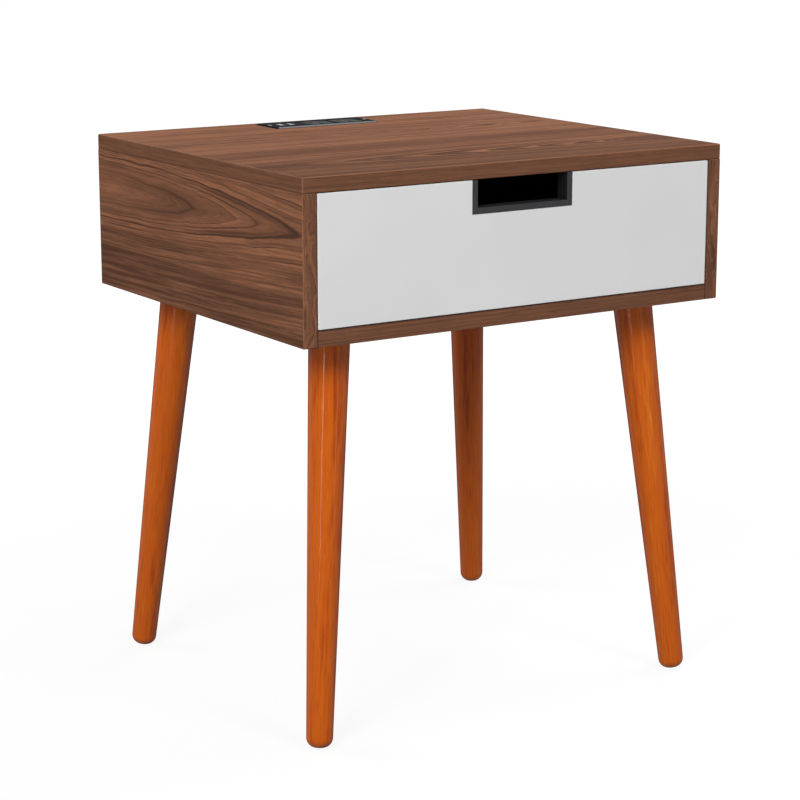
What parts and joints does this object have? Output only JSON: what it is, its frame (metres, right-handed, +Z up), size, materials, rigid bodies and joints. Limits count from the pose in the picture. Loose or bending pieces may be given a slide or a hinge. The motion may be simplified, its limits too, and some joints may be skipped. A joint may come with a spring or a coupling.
{
  "type": "nightstand with a charging panel",
  "caption": "Bedside table: walnut-finish board case on splayed tapered round legs, inset white drawer with a notched finger pull on roller runners, and a charging panel in the top.",
  "frame": {"origin": "on the floor, under the middle of the case's plan", "axes": "+X to the right of a person facing the drawer, +Y to the back, +Z up"},
  "size_m": [0.48, 0.412, 0.5465],
  "materials": {
    "walnut_board": "walnut-grain foil on board, satin",
    "back_board": "walnut-print hardboard, matt",
    "leg_wood": "orange-brown stained and lacquered hardwood, satin gloss",
    "white_lacquer": "white lacquered fibreboard, smooth satin",
    "drawer_board": "walnut-print board, matt",
    "beech": "plain beech",
    "pull_plastic": "black moulded plastic, matt",
    "panel_plastic": "black moulded plastic, satin gloss",
    "housing_plastic": "black moulded plastic, matt",
    "port_plastic": "white moulded plastic",
    "roller_plastic": "natural white nylon",
    "gland_rubber": "black rubber",
    "coated_steel": "cream powder-coated sheet steel",
    "zinc_steel": "zinc-plated steel",
    "bright_steel": "bright nickel-plated steel",
    "contact_brass": "bare brass strip",
    "circuit_board": "green solder-masked board"
  },
  "bodies": {
    "case": {"top_panel": "walnut_board", "left_side_panel": "walnut_board", "right_side_panel": "walnut_board", "bottom_panel": "walnut_board", "back_panel": "back_board", "leg_front_left": "leg_wood", "leg_front_right": "leg_wood", "leg_back_left": "leg_wood", "leg_back_right": "leg_wood", "case_dowels": "beech", "panel_faceplate": "panel_plastic", "outlet_left": "panel_plastic", "outlet_right": "panel_plastic", "panel_housing": "housing_plastic", "charger_transformer": "housing_plastic", "usb_tongues": "port_plastic", "cord_gland": "gland_rubber", "left_channel": "coated_steel", "right_channel": "coated_steel", "leg_plate_front_left": "zinc_steel", "leg_plate_front_right": "zinc_steel", "leg_plate_back_left": "zinc_steel", "leg_plate_back_right": "zinc_steel", "leg_bolts": "zinc_steel", "leg_plate_screws": "zinc_steel", "case_cam_locks": "zinc_steel", "case_cam_bolts": "zinc_steel", "channel_screws": "zinc_steel", "front_roller_axles": "zinc_steel", "panel_screws": "bright_steel", "usb_port_left": "bright_steel", "usb_port_right": "bright_steel", "line_contacts": "contact_brass", "neutral_contacts": "contact_brass", "earth_contacts": "contact_brass", "charger_board": "circuit_board"},
    "drawer": {"drawer_front": "white_lacquer", "pull_liner": "pull_plastic", "drawer_left_side": "drawer_board", "drawer_right_side": "drawer_board", "drawer_back": "drawer_board", "drawer_bottom": "drawer_board", "drawer_cam_locks": "zinc_steel", "drawer_cam_bolts": "zinc_steel", "drawer_dowels": "beech", "drawer_back_screws": "zinc_steel", "left_rail": "coated_steel", "right_rail": "coated_steel", "rear_roller_axles": "zinc_steel", "rail_screws": "zinc_steel"},
    "front_roller_left": {"front_roller_left": "roller_plastic"},
    "front_roller_right": {"front_roller_right": "roller_plastic"},
    "rear_roller_left": {"rear_roller_left": "roller_plastic"},
    "rear_roller_right": {"rear_roller_right": "roller_plastic"}
  },
  "joints": [
    {"name": "drawer_slide", "type": "slide", "parent": "case", "child": "drawer", "axis": [0, -1, 0], "range_m": [0, 0.24]},
    {"name": "front_roller_left_spin", "type": "hinge", "parent": "case", "child": "front_roller_left", "pos_m": [-0.2197, -0.174, 0.418], "axis": [1, 0, 0], "continuous": true},
    {"name": "rear_roller_left_spin", "type": "hinge", "parent": "drawer", "child": "rear_roller_left", "pos_m": [-0.2178, 0.095, 0.4243], "axis": [1, 0, 0], "continuous": true},
    {"name": "front_roller_right_spin", "type": "hinge", "parent": "case", "child": "front_roller_right", "pos_m": [0.2197, -0.174, 0.418], "axis": [1, 0, 0], "continuous": true},
    {"name": "rear_roller_right_spin", "type": "hinge", "parent": "drawer", "child": "rear_roller_right", "pos_m": [0.2178, 0.095, 0.4243], "axis": [1, 0, 0], "continuous": true}
  ],
  "couplings": [
    {"joint": "front_roller_left_spin", "follows": "drawer_slide", "rad_per_m": 100},
    {"joint": "rear_roller_left_spin", "follows": "drawer_slide", "rad_per_m": 100},
    {"joint": "front_roller_right_spin", "follows": "drawer_slide", "rad_per_m": 100},
    {"joint": "rear_roller_right_spin", "follows": "drawer_slide", "rad_per_m": 100}
  ]
}
